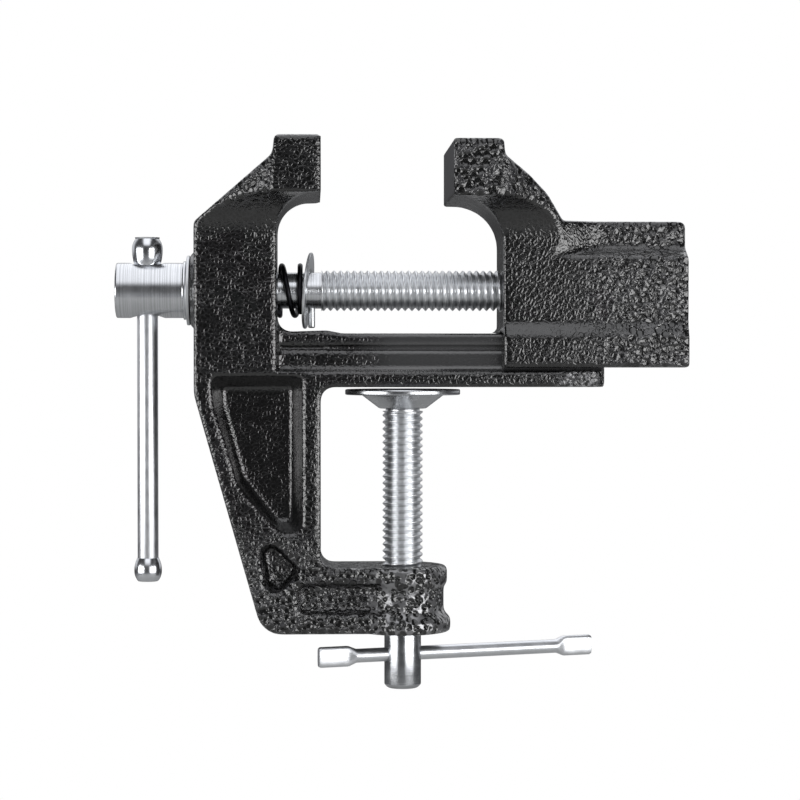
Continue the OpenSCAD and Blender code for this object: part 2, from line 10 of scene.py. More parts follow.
import bmesh
import bpy
from mathutils import Matrix, Vector


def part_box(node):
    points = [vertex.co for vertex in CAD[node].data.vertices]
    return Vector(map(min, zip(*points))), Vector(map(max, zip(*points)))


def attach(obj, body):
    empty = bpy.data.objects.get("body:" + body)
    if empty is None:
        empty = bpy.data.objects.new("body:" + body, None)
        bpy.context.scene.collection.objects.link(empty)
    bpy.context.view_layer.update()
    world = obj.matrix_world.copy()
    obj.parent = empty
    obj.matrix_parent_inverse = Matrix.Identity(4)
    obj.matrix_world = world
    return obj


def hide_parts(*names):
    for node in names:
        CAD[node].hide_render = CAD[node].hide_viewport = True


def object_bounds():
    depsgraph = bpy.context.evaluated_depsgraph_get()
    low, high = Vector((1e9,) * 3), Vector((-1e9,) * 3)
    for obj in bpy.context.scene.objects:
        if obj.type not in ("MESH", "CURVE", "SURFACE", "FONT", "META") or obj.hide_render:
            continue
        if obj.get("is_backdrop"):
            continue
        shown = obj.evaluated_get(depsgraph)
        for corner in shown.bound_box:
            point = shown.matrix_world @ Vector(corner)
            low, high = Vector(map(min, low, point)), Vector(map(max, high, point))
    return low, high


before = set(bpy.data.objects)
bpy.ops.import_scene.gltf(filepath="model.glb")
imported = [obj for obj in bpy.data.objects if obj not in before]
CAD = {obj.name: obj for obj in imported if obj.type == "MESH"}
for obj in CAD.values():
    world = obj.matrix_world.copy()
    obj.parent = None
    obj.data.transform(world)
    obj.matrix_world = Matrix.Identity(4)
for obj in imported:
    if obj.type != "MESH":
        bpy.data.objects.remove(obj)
cad_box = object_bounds()
# places are in metres, and outlines in mm, which MM turns to metres
MM = 0.001
SCREW_Z = 22.4 * MM

# %% [markdown]
# ## The camera
# A long lens half a metre away keeps the depth of the jaws small, as in the photograph. The camera
# stands level with the rail, turned a little towards the moving jaw and tipped a little down.

# %% Set up the camera
TIPPED_DOWN, TURNED_RIGHT = 1.18, 2.335
lens = bpy.data.cameras.new("long_lens")
lens.sensor_width = 36.0
lens.lens = 99.1
lens.clip_start = 0.01
lens.clip_end = 20.0
camera = bpy.data.objects.new("camera", lens)
bpy.context.scene.collection.objects.link(camera)
camera.location = (-0.02161, -0.5148, 0.00748)
camera.rotation_euler = (math.radians(90 - TIPPED_DOWN), 0, math.radians(-TURNED_RIGHT))
bpy.context.scene.camera = camera
bpy.context.scene.view_settings.view_transform = "Standard"
print("camera at", tuple(round(v, 4) for v in camera.location))

# %% [markdown]
# ## Colours and nodes
# Colours are written as they look on a screen, and one function turns them into the linear values that
# the renderer works in. One more function adds a shader or geometry node with its settings and links,
# and gives back the output that the next node needs.


# %% Helpers for colours and nodes
def srgb(code):
    """A screen colour such as #808080 as linear red, green, blue and full cover."""
    parts = [int(code[i : i + 2], 16) / 255 for i in (1, 3, 5)]
    return (*[p / 12.92 if p <= 0.04045 else ((p + 0.055) / 1.055) ** 2.4 for p in parts], 1.0)


def add_node(tree, kind, inputs=None, give=0, **settings):
    """Add a node. Returns the output that give names or counts, or with None the whole node."""
    node = tree.nodes.new(kind)
    for key, value in settings.items():
        setattr(node, key, value)
    for key, value in (inputs or {}).items():
        if isinstance(value, bpy.types.NodeSocket):
            tree.links.new(value, node.inputs[key])
        else:
            node.inputs[key].default_value = value
    return node if give is None else node.outputs[give]


print(f"screen grey #808080 is {srgb('#808080')[0]:.3f} in linear light")

# %% [markdown]
# ## Light
# A white studio, because bright metal looks like what it mirrors. A wide, low softbox stands on each side
# of the camera and leaves a dark gap for it, so a face that looks at the camera stays dark and a round
# bar shows two bright bands. The walls are zones of the world, by direction: a bright strip overhead, a
# back wall that darkens straight behind the vise, and a weak glow from below. The camera sees them plain
# white. The floor is well below the vise, so that the screws can run down without meeting it.


# %% Softboxes
def softbox(name, bearing, width, watts):
    """A softbox that faces the vise. bearing is in degrees to the right of the camera's side."""
    height, distance, tall = -0.03, 0.62, 0.24
    data = bpy.data.lights.new(name, "AREA")
    data.shape = "RECTANGLE"
    data.size = width
    data.size_y = tall
    data.energy = watts
    light = bpy.data.objects.new(name, data)
    bpy.context.scene.collection.objects.link(light)
    turn = math.radians(bearing)
    light.location = (distance * math.sin(turn), -distance * math.cos(turn), height)
    light.rotation_euler = (-light.location).to_track_quat("-Z", "Y").to_euler()
    print(f"{name}: {watts} W at", tuple(round(v, 2) for v in light.location))


softbox("left_softbox", -60, 0.54, 1.9)
softbox("right_softbox", 42, 0.62, 2.4)

# %% [markdown]
# ## Zones
# Enamel thickness, wear and studio light all change from place to place. Each is given as zones: limits
# along the axes, with a soft step at each limit. Painting a mask by hand would need an image, and a mask
# by formula stays sharp at any distance.


# %% Walls of the studio
def highest_zone(tree, place, zones, least=0.0):
    """A zone is its top value and its limits, each one an axis, where it starts and where it is full."""
    parts = add_node(tree, "ShaderNodeSeparateXYZ", {"Vector": place}, give=None).outputs
    highest = least
    for top, *limits in zones:
        level = top
        for axis, start, full in limits:
            step = add_node(tree, "ShaderNodeMapRange",
                            {"Value": parts[axis], "From Min": start, "From Max": full},
                            interpolation_type="SMOOTHSTEP")
            level = add_node(tree, "ShaderNodeMath", {0: level, 1: step}, operation="MULTIPLY")
        highest = add_node(tree, "ShaderNodeMath", {0: highest, 1: level}, operation="MAXIMUM")
    return highest


OVERHEAD = (1.5, ("Z", 0.22, 0.62), ("X", 0.52, 0.26), ("X", -0.52, -0.26))
BACK_WALL = (0.8, ("Y", 0.10, 0.60), ("Y", 0.97, 0.86), ("Z", -0.10, 0.06))
LOW_WALL = (0.32, ("Z", 0.0, -0.42))
GLOOM = 0.06

studio = bpy.data.worlds.new("studio")
bpy.context.scene.world = studio
studio.use_nodes = True
air = studio.node_tree
air.nodes.clear()
look = add_node(air, "ShaderNodeTexCoord", give="Generated")
brightness = highest_zone(air, look, [OVERHEAD, BACK_WALL, LOW_WALL], GLOOM)
felt = add_node(air, "ShaderNodeBackground", {"Color": srgb("#fbfcff"), "Strength": brightness})
seen = add_node(air, "ShaderNodeBackground", {"Color": srgb("#ffffff"), "Strength": 1.0})
by_camera = add_node(air, "ShaderNodeLightPath", give="Is Camera Ray")
walls = add_node(air, "ShaderNodeMixShader", {0: by_camera, 1: felt, 2: seen})
add_node(air, "ShaderNodeOutputWorld", {"Surface": walls}, give=None)
print("studio walls made of", len(air.nodes), "nodes")

# %% [markdown]
# ## Materials
# A material is a tree of nodes that ends in one surface shader. Its patterns read Object coordinates,
# which are places on the piece itself, so that they don't slide when the piece or the camera moves. The
# floor is the simplest one: matt paper, pale, without a reflection of the vise.


# %% The floor and its material
def start_material(name, plain_colour):
    """Returns the material, its empty node tree, and the place of each point on the piece."""
    material = bpy.data.materials.new(name)
    material.use_nodes = True
    material.diffuse_color = srgb(plain_colour)
    material.node_tree.nodes.clear()
    place = add_node(material.node_tree, "ShaderNodeTexCoord", give="Object")
    return material, material.node_tree, place


def end_material(material, surface):
    """Set the surface shader's sockets: a plain value on the socket itself, a pattern by a link."""
    tree = material.node_tree
    shader = add_node(tree, "ShaderNodeBsdfPrincipled", surface)
    add_node(tree, "ShaderNodeOutputMaterial", {"Surface": shader}, give=None)
    print(f"{material.name}: {len(tree.nodes)} nodes")
    return material


FLOOR_RADIUS, FLOOR_Z, FLOOR_SIDES = 0.44, -0.21, 96
corners = [2 * math.pi * i / FLOOR_SIDES for i in range(FLOOR_SIDES)]
rim = [(FLOOR_RADIUS * math.cos(a), FLOOR_RADIUS * math.sin(a), FLOOR_Z) for a in corners]
floor_mesh = bpy.data.meshes.new("studio_floor")
floor_mesh.from_pydata(rim, [], [list(range(FLOOR_SIDES))])
studio_floor = bpy.data.objects.new("studio_floor", floor_mesh)
bpy.context.scene.collection.objects.link(studio_floor)
paper, tree, place = start_material("pale_studio_floor", "#a9a9a7")
end_material(paper, {"Base Color": srgb("#a9a9a7"), "Roughness": 0.9})
floor_mesh.materials.append(paper)
studio_floor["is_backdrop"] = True
print("floor", -FLOOR_Z, "m below the bench seat")

# %% [markdown]
# ## Hammertone enamel
# The castings are sprayed with black hammertone: a thick enamel with metal flake, which draws itself into
# small craters as it dries. Their floors are black and shiny, and the net between them is dark grey, so
# the eye sees almost no colour, only sharp white glints on the crater walls. The crater floors are
# painted near black: partly the paint's own black, partly painted shade and dark reflection in the
# hollows. Thin paint has close cells of uneven depth, about 1 mm apart. Where it ran thick, as on the
# clamp boss and at the moving jaw's free end, it has round pits 1.45 to 1.8 mm apart. The craters could
# be pressed into the mesh, but they are some tenths of a millimetre deep at most, so a bump in the
# material gives the same glints. A Voronoi pattern fits both kinds: the distance to a cell's edge draws
# cells, the distance to its middle pits.


# %% Craters
print("a pattern 1 mm wide repeats", round(1 / MM), "times in a metre, so that is its scale")


def close_cells(tree, where, apart_mm):
    """Returns the height of the walls between the cells, and their rims."""
    cells = {"Vector": where, "Scale": 1 / (apart_mm * MM)}
    edge = add_node(tree, "ShaderNodeTexVoronoi", cells, feature="DISTANCE_TO_EDGE")
    chance = add_node(tree, "ShaderNodeTexVoronoi", cells, give="Color", feature="F1")
    chance = add_node(tree, "ShaderNodeSeparateColor", {"Color": chance})
    shallow = add_node(tree, "ShaderNodeMath", {0: chance, 1: 0.5}, operation="MULTIPLY")
    wall = add_node(tree, "ShaderNodeMapRange",
                    {"Value": edge, "From Min": 0.26, "From Max": 0.0, "To Min": shallow},
                    interpolation_type="SMOOTHSTEP")
    rim = add_node(tree, "ShaderNodeMapRange", {"Value": edge, "From Min": 0.14, "From Max": 0.01},
                   interpolation_type="SMOOTHSTEP")
    return wall, rim


def round_pits(tree, where, apart_mm):
    """Returns the height round steep pits, the height round bowls at the same spots, and the rims."""
    reach = add_node(tree, "ShaderNodeTexVoronoi",
                     {"Vector": where, "Scale": 1 / (apart_mm * MM), "Randomness": 0.85}, feature="F1")
    return [add_node(tree, "ShaderNodeMapRange", {"Value": reach, "From Min": start, "From Max": full},
                     interpolation_type="SMOOTHSTEP")
            for start, full in ((0.32, 0.68), (0.0, 0.66), (0.48, 0.66))]


# %% Craters in thin and thick paint
SWAY_MM, SWAY_REACH_MM = 2.381, 1.2
print("the rows of craters sway by up to", SWAY_REACH_MM, "mm, so that no straight line shows")


def craters(tree, place, fine_mm, coarse_mm, thick, painted_sheen):
    """Returns the height of the paint and its rims, with pits where thick and bowls at the painted sheen.
    """
    sway = add_node(tree, "ShaderNodeTexNoise", {"Vector": place, "Scale": 1 / (SWAY_MM * MM),
                                                 "Detail": 2.0}, give="Color")
    pushed = add_node(tree, "ShaderNodeVectorMath", {0: sway, 3: SWAY_REACH_MM * MM},
                      operation="SCALE")
    where = add_node(tree, "ShaderNodeVectorMath", {0: place, 1: pushed}, operation="ADD")
    wall, cell_rim = close_cells(tree, where, fine_mm)
    steep, bowl, pit_rim = round_pits(tree, where, coarse_mm)
    levels = []
    for cells, pits, bare, least in ((wall, steep, bowl, 0.75), (cell_rim, pit_rim, pit_rim, 0.5)):
        # small cells go on between the pits of thick paint, only shallower
        faint = add_node(tree, "ShaderNodeMapRange", {"Value": cells, "To Min": least},
                         interpolation_type="SMOOTHSTEP")
        broken = add_node(tree, "ShaderNodeMath", {0: pits, 1: faint}, operation="MULTIPLY")
        coarse = add_node(tree, "ShaderNodeMix", {0: painted_sheen, 2: broken, 3: bare})
        levels.append(add_node(tree, "ShaderNodeMix", {0: thick, 2: cells, 3: coarse}))
    return levels


def outer_share(tree, place, in_pocket):
    """1 outside, in_pocket in the pockets, where little paint arrives and the net gets painted shade."""
    sideways = add_node(tree, "ShaderNodeSeparateXYZ", {"Vector": place}, give="Y")
    depth = add_node(tree, "ShaderNodeMath", {0: sideways}, operation="ABSOLUTE")
    return add_node(tree, "ShaderNodeMapRange", {"Value": depth, "From Min": 5.0 * MM,
                                                 "From Max": 7.2 * MM, "To Min": in_pocket})


# %% [markdown]
# ## Wear, specks and painted sheen
# The bump and the colour of the enamel come from the same craters, so that they fit each other. Thick
# paint has deeper craters and a little lighter net. Deep in the pockets the net is darker: painted shade.
# Where the jaw slides on the rail the enamel is worn smooth and grey, and the rail's tip has bright grey
# specks. Round the clamp boss the enamel is painted a lighter, partly metallic grey: a painted sheen for
# the softboxes' reflection. A second layer of real thickness isn't needed: the shader's own clear coat
# gives the hard, wet gloss.

# %% Depth of the craters
CRATER_MM, THICK_DEPTH, PEEL_MM = 0.16, 2.1, 0.4545
print(f"craters in the thickest paint are up to {THICK_DEPTH * CRATER_MM:.2f} mm deep")


def paint_bump(tree, place, height, patches, fine_depth, thick, painted_sheen, worn):
    """Craters are deeper in thick paint, shallower in pockets, and gone where the enamel is worn."""
    deep = add_node(tree, "ShaderNodeMapRange",
                    {"Value": thick, "To Min": fine_depth, "To Max": THICK_DEPTH})
    patchy = add_node(tree, "ShaderNodeMapRange",
                      {"Value": patches, "From Min": 0.36, "From Max": 0.60, "To Min": 0.65},
                      interpolation_type="SMOOTHSTEP")
    for share in (deep, outer_share(tree, place, 0.7), patchy):
        height = add_node(tree, "ShaderNodeMath", {0: height, 1: share}, operation="MULTIPLY")
    # a fine orange peel lies over the craters, weaker where the boss has its painted sheen
    peel = add_node(tree, "ShaderNodeTexNoise", {"Vector": place, "Scale": 1 / (PEEL_MM * MM),
                                                 "Detail": 3.0})
    peel_depth = add_node(tree, "ShaderNodeMix", {0: painted_sheen, 2: 0.26, 3: 0.14})
    height = add_node(tree, "ShaderNodeMath", {0: peel, 1: peel_depth, 2: height},
                      operation="MULTIPLY_ADD")
    whole = add_node(tree, "ShaderNodeMath", {0: 1.0, 1: worn}, operation="SUBTRACT")
    height = add_node(tree, "ShaderNodeMath", {0: height, 1: whole}, operation="MULTIPLY")
    return add_node(tree, "ShaderNodeBump", {"Height": height, "Strength": 1.0,
                                             "Distance": CRATER_MM * MM})


# %% Enamel
PATCH_MM, SPECK_MM = 5.556, 0.7692
# crater floors near black, partly the paint's own black and partly painted shade in the hollows
CRATER_BLACK_AND_SHADE, NET_DARK, NET_GREY, NET_THICK = "#020202", "#0e0e0f", "#202021", "#38383a"
# a lighter grey painted at the boss as painted sheen, worn grey, and bright grey specks
SHEEN_GREY, WORN_GREY, SPECK_GREY = "#7c7c7e", "#404041", "#7c7c7e"


def hammertone(name, fine_mm, fine_depth, coarse_mm, thick, painted_sheen=(), worn=(), specked=()):
    """Hammertone on one casting. The last four are zones: thick paint, painted sheen, wear and specks."""
    material, tree, place = start_material(name, "#1a1a1b")
    thick_here = highest_zone(tree, place, thick)
    painted_sheen_here = highest_zone(tree, place, painted_sheen)
    worn_here = highest_zone(tree, place, worn)
    patches = add_node(tree, "ShaderNodeTexNoise", {"Vector": place, "Scale": 1 / (PATCH_MM * MM),
                                                    "Detail": 3.0})
    height, rims = craters(tree, place, fine_mm, coarse_mm, thick_here, painted_sheen_here)
    bump = paint_bump(tree, place, height, patches, fine_depth, thick_here, painted_sheen_here, worn_here)

    # deep in the pockets the net fades towards crater black: painted shade in the recesses
    rims = add_node(tree, "ShaderNodeMath", {0: rims, 1: outer_share(tree, place, 0.35)},
                    operation="MULTIPLY")
    net = srgb(NET_DARK)
    # the net is lighter in patches and in thick paint, and at the boss a lighter grey is painted: painted
    # sheen
    for share, grey in ((patches, NET_GREY), (thick_here, NET_THICK), (painted_sheen_here, SHEEN_GREY)):
        net = add_node(tree, "ShaderNodeMix", {0: share, 6: net, 7: srgb(grey)}, give=2,
                       data_type="RGBA")
    # crater floors take the near black, partly painted shade, and the net's grey lies between them
    colour = add_node(tree, "ShaderNodeMix", {0: rims, 6: srgb(CRATER_BLACK_AND_SHADE), 7: net}, give=2,
                      data_type="RGBA")
    # bright grey specks go on the rail's tip, and worn grey where the jaw runs
    specks = add_node(tree, "ShaderNodeTexNoise", {"Vector": place, "Scale": 1 / (SPECK_MM * MM),
                                                   "Detail": 3.0})
    specks = add_node(tree, "ShaderNodeMapRange", {"Value": specks, "From Min": 0.46, "From Max": 0.60},
                      interpolation_type="SMOOTHSTEP")
    bright_specks = add_node(tree, "ShaderNodeMath", {0: specks, 1: highest_zone(tree, place, specked)},
                      operation="MULTIPLY")
    for share, grey in ((worn_here, WORN_GREY), (bright_specks, SPECK_GREY)):
        colour = add_node(tree, "ShaderNodeMix", {0: share, 6: colour, 7: srgb(grey)}, give=2,
                          data_type="RGBA")

    surface = {"Base Color": colour, "Normal": bump, "Roughness": 0.22, "IOR": 1.45,
               "Coat Weight": 1.0, "Coat Roughness": 0.07, "Coat Normal": bump}
    # round the boss the net is also partly metallic, part of the painted sheen
    if painted_sheen:
        sheen_metal = add_node(tree, "ShaderNodeMath", {0: painted_sheen_here, 1: rims}, operation="MULTIPLY")
        surface["Metallic"] = add_node(tree, "ShaderNodeMath", {0: sheen_metal, 1: 0.6},
                                       operation="MULTIPLY")
    return end_material(material, surface)


for label, grey in (("craters", CRATER_BLACK_AND_SHADE), ("net", NET_GREY), ("silver skin", SHEEN_GREY)):
    print(f"enamel {label}: {srgb(grey)[0]:.4f} of the light comes back")

# %% Enamel on the two castings
TO_BOSS = (1.0, ("Z", -0.030, -0.044))
RAIL_TIP = (1.0, ("X", 0.034, 0.042))
SLOPE_BEHIND_JAW = (1.0, ("Z", 0.0400, 0.0425), ("X", -0.030, -0.031))
BOSS = (1.0, ("Z", -0.040, -0.043), ("X", -0.009, -0.006))
JAW_RUN = (0.8, ("X", -0.014, 0.000), ("Z", 0.0036, 0.0042), ("Z", 0.0136, 0.0130))
FLANGE_TIP = (1.0, ("X", 0.0335, 0.0385), ("X", 0.0455, 0.0435), ("Z", 0.0044, 0.0032))
# the frame: fine dark grain, coarse at the boss with a painted sheen, dull grey where the jaw runs
frame_enamel = hammertone("hammertone_enamel_frame", fine_mm=1.0, fine_depth=0.38, coarse_mm=1.45,
                          thick=[TO_BOSS, RAIL_TIP, SLOPE_BEHIND_JAW], painted_sheen=[BOSS],
                          worn=[JAW_RUN], specked=[FLANGE_TIP])

FREE_END = (1.0, ("X", 0.034, 0.058))
JAW_HEAD = (1.0, ("Z", 0.040, 0.044))
# the moving jaw: a little coarser all over, with big wet pits at its head and free end
jaw_enamel = hammertone("hammertone_enamel_jaw", fine_mm=1.1, fine_depth=0.36, coarse_mm=1.8,
                        thick=[FREE_END, JAW_HEAD])

# %% [markdown]
# ## Machined iron
# Both gripping faces are milled after painting. Bare cast iron is a dull grey metal, and the cutter
# leaves fine upright lines on it, about a quarter of a millimetre apart. Cut into the mesh they would
# take thousands of narrow faces, so they are a noise that is stretched upwards.

# %% Machined face material
LINE_MM, LINE_LENGTH_MM = 0.25, 16.67
# dull grey that darkens and lightens in upright lines, with a soft sheen
milled, tree, place = start_material("milled_cast_iron", "#5c5c5e")
stretched = add_node(tree, "ShaderNodeMapping", {
    "Vector": place, "Scale": (1 / (LINE_MM * MM), 1 / (LINE_MM * MM), 1 / (LINE_LENGTH_MM * MM))})
lines = add_node(tree, "ShaderNodeTexNoise", {"Vector": stretched, "Scale": 1.0, "Detail": 3.0})
bump = add_node(tree, "ShaderNodeBump", {"Height": lines, "Strength": 0.6, "Distance": 0.03 * MM})
grey = add_node(tree, "ShaderNodeMix", {0: lines, 6: srgb("#2e2e30"), 7: srgb("#56565a")}, give=2,
                data_type="RGBA")
end_material(milled, {"Base Color": grey, "Normal": bump, "Metallic": 0.85, "Roughness": 0.42})

# %% [markdown]
# ## Plated steel
# The screws, washers and pad are steel with a bright zinc plating: light, slightly bluish grey, a soft
# mirror with faint clouding. The bars and knobs are polished and chrome plated, nearly a true mirror.
# The lathe leaves fine rings, which show as thin darker lines. The roots of the threads are painted
# darker, as painted shade. The darkening could follow a helix in the material, but the thread's own tree
# writes its depth as an attribute, and that fits at every turn. The spring is oil-blackened wire.

# %% Bright metal materials
CLOUD_MM = 2.381
RING_GREY, ROOT_SHADE_GREY = "#7c7e82", "#56585c"


def plated_steel(name, low, high, roughness, rings=None, root_shade=0.0):
    """rings are the lathe's: their axis, distance and depth in mm. The last is the roots' painted shade.
    """
    material, tree, place = start_material(name, high)
    cloud = add_node(tree, "ShaderNodeTexNoise", {"Vector": place, "Scale": 1 / (CLOUD_MM * MM),
                                                  "Detail": 4.0})
    tint = add_node(tree, "ShaderNodeMix", {0: cloud, 6: srgb(low), 7: srgb(high)}, give=2,
                    data_type="RGBA")
    shine = add_node(tree, "ShaderNodeMapRange",
                     {"Value": cloud, "To Min": roughness * 0.7, "To Max": roughness * 1.4})
    surface = {"Metallic": 1.0, "Roughness": shine}
    # the roots of the threads are painted darker: painted shade, deepest at the root
    if root_shade:
        groove = add_node(tree, "ShaderNodeAttribute", give="Fac", attribute_name="thread_groove")
        root_shaded = add_node(tree, "ShaderNodeMapRange", {"Value": groove, "From Min": 0.76, "To Max": root_shade},
                        interpolation_type="SMOOTHSTEP")
        tint = add_node(tree, "ShaderNodeMix", {0: root_shaded, 6: tint, 7: srgb(ROOT_SHADE_GREY)}, give=2,
                        data_type="RGBA")
    if rings:
        axis, apart_mm, deep_mm = rings
        along = add_node(tree, "ShaderNodeSeparateXYZ", {"Vector": place}, give=axis)
        turned = add_node(tree, "ShaderNodeTexNoise", {"W": along, "Scale": 1 / (apart_mm * MM),
                                                       "Detail": 2.0}, noise_dimensions="1D")
        bright = add_node(tree, "ShaderNodeMapRange",
                          {"Value": turned, "From Min": 0.40, "From Max": 0.58, "To Min": 0.70},
                          interpolation_type="SMOOTHSTEP")
        tint = add_node(tree, "ShaderNodeMix", {0: bright, 6: srgb(RING_GREY), 7: tint}, give=2,
                        data_type="RGBA")
        surface["Normal"] = add_node(tree, "ShaderNodeBump", {"Height": turned, "Strength": 1.0,
                                                              "Distance": deep_mm * MM})
    surface["Base Color"] = tint
    return end_material(material, surface)


# rolled thread: the lightest steel here, its crests catch the light in short glints, its roots painted
# shade
zinc_thread = plated_steel("zinc_plated_thread", "#d4d6d9", "#eaecee", 0.33, root_shade=0.36)
# turned head: rings wide enough to see, a clear dark band between two bright ones
zinc_turned = plated_steel("zinc_plated_turned", "#c6c8cc", "#e0e2e5", 0.22, rings=("X", 0.40, 0.014))
# turned end of the clamp screw: a little darker, with finer rings
zinc_end = plated_steel("zinc_plated_screw_end", "#a9abae", "#d4d6d9", 0.22, rings=("Z", 0.22, 0.004))
# pressed pad: smooth, with faint rings from the press tool
zinc_pressed = plated_steel("zinc_plated_pressed_pad", "#b4b6b9", "#dadcdf", 0.24,
                            rings=("Z", 0.12, 0.004))
# stamped washers: tumbled, so duller than the rest
zinc_washer = plated_steel("zinc_plated_washer", "#bcbec1", "#dcdee0", 0.40)
# knobs: polished chrome, nearly a mirror
chrome = plated_steel("chrome_plated_knob", "#c8cace", "#dcdee2", 0.20)
# bars: drawn rod under the chrome, so the bands of light on it are soft
satin_bar = plated_steel("chrome_plated_bar", "#d0d2d6", "#e4e6e9", 0.34)
# spring wire: black oxide and oil, a thin highlight along the wire
black_wire = plated_steel("blackened_spring_wire", "#1b1b1d", "#303034", 0.34)

# %% [markdown]
# ## Pieces
# Every finished piece is a plain mesh at the origin that rides on one body of the frame. Most stand for
# a measured solid, and a thread or a riveted end goes with the piece that does.


# %% Helpers for pieces
print("pieces are needed for", ", ".join(sorted(CAD)))


def add_piece(name, mesh, body, slot, *stands_for, finish=None, smooth=40.0):
    """smooth is the sharpest edge, in degrees, that is still shaded round."""
    if finish:
        mesh.materials.clear()
        mesh.materials.append(finish)
    piece = bpy.data.objects.new(name, mesh)
    bpy.context.scene.collection.objects.link(piece)
    mesh.shade_smooth()
    mesh.set_sharp_from_angle(angle=math.radians(smooth))
    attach(piece, body)
    if stands_for:
        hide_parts(*stands_for)
    mesh.calc_loop_triangles()
    print(f"{name}: {len(mesh.loop_triangles)} triangles")


def holder_of(mesh):
    """An object that carries a mesh while modifiers work on it."""
    holder = bpy.data.objects.new("holder", mesh)
    bpy.context.scene.collection.objects.link(holder)
    return holder


def evaluated_mesh(holder, name):
    """The holder's mesh with all its modifiers, as a plain mesh. The holder is removed."""
    graph = bpy.context.evaluated_depsgraph_get()
    mesh = bpy.data.meshes.new_from_object(holder.evaluated_get(graph))
    mesh.name = name
    bpy.data.objects.remove(holder)
    return mesh


# %% [markdown]
# ## The castings
# Sand casting leaves no sharp edge: every corner is rounded by about a millimetre and every inner
# corner has a fillet. A Bevel modifier would need clean edge loops, which the measured solid doesn't
# have. So the solid is remeshed into small even squares and relaxed, which rounds all of its edges
# alike. What the works machined or kept open is then pressed back to its measured place: the milled
# faces, the rail's narrow grooves with the lips that run in them, and the drilled bores.


# %% Soften a casting
def cast_copy(node, grain_mm, rounds):
    """A softened copy of a measured solid: even squares of grain_mm, relaxed in some rounds."""
    mesh = CAD[node].data.copy()
    mesh.materials.clear()
    loose = bmesh.new()
    loose.from_mesh(mesh)
    bmesh.ops.remove_doubles(loose, verts=loose.verts, dist=1e-7)
    loose.to_mesh(mesh)
    loose.free()
    holder = holder_of(mesh)
    squares = holder.modifiers.new("even_squares", "REMESH")
    squares.mode = "VOXEL"
    squares.voxel_size = grain_mm * MM
    squares.adaptivity = 0.0
    relax = holder.modifiers.new("relax", "SMOOTH")
    relax.factor = 0.5
    relax.iterations = rounds
    return evaluated_mesh(holder, node + "_cast")


frame_cast = cast_copy("fixed_frame", 0.6, 4)
jaw_cast = cast_copy("moving_jaw", 0.55, 4)
print("frame", len(frame_cast.polygons), "squares, jaw", len(jaw_cast.polygons), "squares")


# %% Grooves and lips
# the groove's range of heights, and of distances from the middle plane, in mm
SLOT_LOW, SLOT_HIGH, SLOT_IN, SLOT_OUT = 8.45, 9.55, 5.9, 7.45


def press_slot(mesh, from_x, reach, nearest):
    """The groove (nearest is min) or the lip in it (max) ends reach from the middle plane. All in mm."""
    for vertex in mesh.vertices:
        x, y, z = vertex.co / MM
        if x > from_x and SLOT_LOW < z < SLOT_HIGH and SLOT_IN < abs(y) < SLOT_OUT:
            vertex.co.y = math.copysign(nearest(abs(y), reach) * MM, y)


GROOVE_REACH, LIP_REACH = 6.35, 6.75
press_slot(frame_cast, from_x=-18.0, reach=GROOVE_REACH, nearest=min)
press_slot(jaw_cast, from_x=10.0, reach=LIP_REACH, nearest=max)
print(f"the lips run {LIP_REACH - GROOVE_REACH:.2f} mm clear of the groove's floor")

# %% Bores
ALONG_X, ALONG_Z = 0, 2
BORE_R = 4.95


def open_bore(mesh, middle, axis, low, high):
    """The skin of a bore from low to high, in mm along its axis, goes back to its drilled radius."""
    for vertex in mesh.vertices:
        from_axis = vertex.co - Vector(middle)
        reach = from_axis[axis]
        from_axis[axis] = 0.0
        if low * MM < reach < high * MM and 0.0 < from_axis.length < BORE_R * MM:
            vertex.co += from_axis * (BORE_R * MM / from_axis.length - 1.0)


open_bore(frame_cast, (0, 0, SCREW_Z), ALONG_X, low=-50.6, high=-28.0)
open_bore(frame_cast, (0, 0, 0), ALONG_Z, low=-56.0, high=-41.0)
print("both bores open to", BORE_R, "mm radius")


# %% Milled faces
def press_flat(mesh, face_x, side, low_z, high_z, half_y):
    """The skin within 0.7 mm of a milled face goes onto its plane and gets the second material."""
    for vertex in mesh.vertices:
        x, y, z = vertex.co / MM
        if abs(x - face_x) < 0.7 and low_z < z < high_z and abs(y) < half_y:
            vertex.co.x = face_x * MM
    marked = 0
    for face in mesh.polygons:
        x, y, z = face.center / MM
        if abs(x - face_x) < 0.02 and side * face.normal.x > 0.9 and z > low_z:
            face.material_index = 1
            marked += 1
    print(f"{mesh.name}: {marked} milled squares")


for mesh, enamel in ((frame_cast, frame_enamel), (jaw_cast, jaw_enamel)):
    mesh.materials.append(enamel)
    mesh.materials.append(milled)
press_flat(frame_cast, face_x=-19.2, side=1, low_z=44.3, high_z=56.6, half_y=19.6)
press_flat(jaw_cast, face_x=10.8, side=-1, low_z=43.7, high_z=55.9, half_y=19.6)
add_piece("frame_casting", frame_cast, "frame", "enamel_fixed", "fixed_frame", smooth=80)
add_piece("jaw_casting", jaw_cast, "jaw", "enamel_moving", "moving_jaw", smooth=80)

# %% [markdown]
# ## Turned pieces
# Screws, washers, knobs and the pad come off a lathe or out of a round press tool, so each is one
# outline spun about its axis. Cylinders with a Bevel modifier could be stacked instead, but one outline
# has no hidden faces inside. Every edge gets a small bevel, because no real edge is perfectly sharp and
# the bevel is what catches the light.


